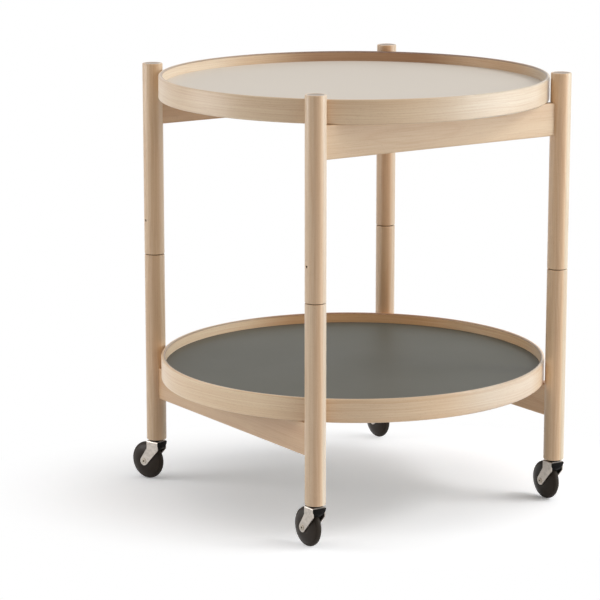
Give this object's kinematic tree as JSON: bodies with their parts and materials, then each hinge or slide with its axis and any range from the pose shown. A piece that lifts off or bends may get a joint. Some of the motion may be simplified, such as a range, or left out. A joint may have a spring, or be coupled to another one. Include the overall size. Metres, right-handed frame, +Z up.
{
  "type": "tray table",
  "caption": "Round tray table on swivel castors: two lift-off trays with bent wooden rims, one above the other, in a pivoting frame of round legs and rails.",
  "frame": {"origin": "centre of the footprint, on the floor that the four castors stand on", "axes": "+Z up; the two upper rails run along X at the front (-Y) and rear, the two lower rails along Y at the left (-X) and right"},
  "size_m": [0.6, 0.6, 0.672],
  "materials": {
    "beech": "clear matt lacquer on beech",
    "pale_laminate": "matt pale grey laminate",
    "dark_laminate": "matt dark grey laminate",
    "zinc_steel": "zinc plated, satin",
    "steel": "plain steel, satin",
    "black_plastic": "black moulded plastic",
    "black_rubber": "smooth black rubber"
  },
  "bodies": {
    "left_side": {"lower_left_rail": "beech", "front_left_lower_leg": "beech", "rear_left_lower_leg": "beech", "front_left_sleeve": "black_plastic", "rear_left_sleeve": "black_plastic", "front_left_washer": "black_plastic", "rear_left_washer": "black_plastic"},
    "front_frame": {"upper_front_rail": "beech", "front_left_upper_leg": "beech", "front_right_upper_leg": "beech", "front_left_pivot_pin": "steel", "front_right_pivot_pin": "steel", "front_left_grub_screw": "steel", "front_right_grub_screw": "steel"},
    "rear_frame": {"upper_rear_rail": "beech", "rear_left_upper_leg": "beech", "rear_right_upper_leg": "beech", "rear_left_pivot_pin": "steel", "rear_right_pivot_pin": "steel", "rear_left_grub_screw": "steel", "rear_right_grub_screw": "steel"},
    "right_side": {"lower_right_rail": "beech", "front_right_lower_leg": "beech", "rear_right_lower_leg": "beech", "front_right_sleeve": "black_plastic", "rear_right_sleeve": "black_plastic", "front_right_washer": "black_plastic", "rear_right_washer": "black_plastic"},
    "top_tray": {"top_tray_rim": "beech", "top_tray_board": "pale_laminate"},
    "lower_tray": {"lower_tray_rim": "beech", "lower_tray_board": "dark_laminate"},
    "front_left_swivel": {"front_left_stem": "steel", "front_left_fork": "zinc_steel", "front_left_guard": "black_plastic", "front_left_axle": "steel"},
    "front_left_roller": {"front_left_wheel": "black_rubber"},
    "front_right_swivel": {"front_right_stem": "steel", "front_right_fork": "zinc_steel", "front_right_guard": "black_plastic", "front_right_axle": "steel"},
    "front_right_roller": {"front_right_wheel": "black_rubber"},
    "rear_right_swivel": {"rear_right_stem": "steel", "rear_right_fork": "zinc_steel", "rear_right_guard": "black_plastic", "rear_right_axle": "steel"},
    "rear_right_roller": {"rear_right_wheel": "black_rubber"},
    "rear_left_swivel": {"rear_left_stem": "steel", "rear_left_fork": "zinc_steel", "rear_left_guard": "black_plastic", "rear_left_axle": "steel"},
    "rear_left_roller": {"rear_left_wheel": "black_rubber"}
  },
  "joints": [
    {"name": "front_frame_fold", "type": "hinge", "parent": "left_side", "child": "front_frame", "pos_m": [-0.22497, -0.22497, 0.3695], "axis": [0, 0, 1], "range_deg": [-0.35, 0.35]},
    {"name": "rear_frame_fold", "type": "hinge", "parent": "left_side", "child": "rear_frame", "pos_m": [-0.22497, 0.22497, 0.3695], "axis": [0, 0, 1], "range_deg": [-0.35, 0.35]},
    {"name": "right_side_fold", "type": "hinge", "parent": "front_frame", "child": "right_side", "pos_m": [0.22497, -0.22497, 0.3695], "axis": [0, 0, 1], "range_deg": [-0.35, 0.35]},
    {"name": "top_tray_lift", "type": "slide", "parent": "left_side", "child": "top_tray", "axis": [0, 0, 1], "range_m": [0, 0.12]},
    {"name": "lower_tray_lift", "type": "slide", "parent": "left_side", "child": "lower_tray", "axis": [0, 0, 1], "range_m": [0, 0.34]},
    {"name": "front_left_swivel_turn", "type": "hinge", "parent": "left_side", "child": "front_left_swivel", "pos_m": [-0.22497, -0.22497, 0.065], "axis": [0, 0, 1], "continuous": true},
    {"name": "front_left_wheel_roll", "type": "hinge", "parent": "front_left_swivel", "child": "front_left_roller", "pos_m": [-0.22528, -0.20697, 0.03], "axis": [-0.9998, -0.0175, 0], "continuous": true},
    {"name": "front_right_swivel_turn", "type": "hinge", "parent": "right_side", "child": "front_right_swivel", "pos_m": [0.22497, -0.22497, 0.065], "axis": [0, 0, 1], "continuous": true},
    {"name": "front_right_wheel_roll", "type": "hinge", "parent": "front_right_swivel", "child": "front_right_roller", "pos_m": [0.22559, -0.20698, 0.03], "axis": [-0.9994, 0.0349, 0], "continuous": true},
    {"name": "rear_right_swivel_turn", "type": "hinge", "parent": "right_side", "child": "rear_right_swivel", "pos_m": [0.22497, 0.22497, 0.065], "axis": [0, 0, 1], "continuous": true},
    {"name": "rear_right_wheel_roll", "type": "hinge", "parent": "rear_right_swivel", "child": "rear_right_roller", "pos_m": [0.22497, 0.24297, 0.03], "axis": [-1, 0, 0], "continuous": true},
    {"name": "rear_left_swivel_turn", "type": "hinge", "parent": "left_side", "child": "rear_left_swivel", "pos_m": [-0.22497, 0.22497, 0.065], "axis": [0, 0, 1], "continuous": true},
    {"name": "rear_left_wheel_roll", "type": "hinge", "parent": "rear_left_swivel", "child": "rear_left_roller", "pos_m": [-0.23112, 0.24188, 0.03], "axis": [-0.9397, -0.342, 0], "continuous": true}
  ],
  "couplings": [
    {"joint": "rear_frame_fold", "follows": "front_frame_fold", "ratio": 1},
    {"joint": "right_side_fold", "follows": "front_frame_fold", "ratio": -1}
  ]
}
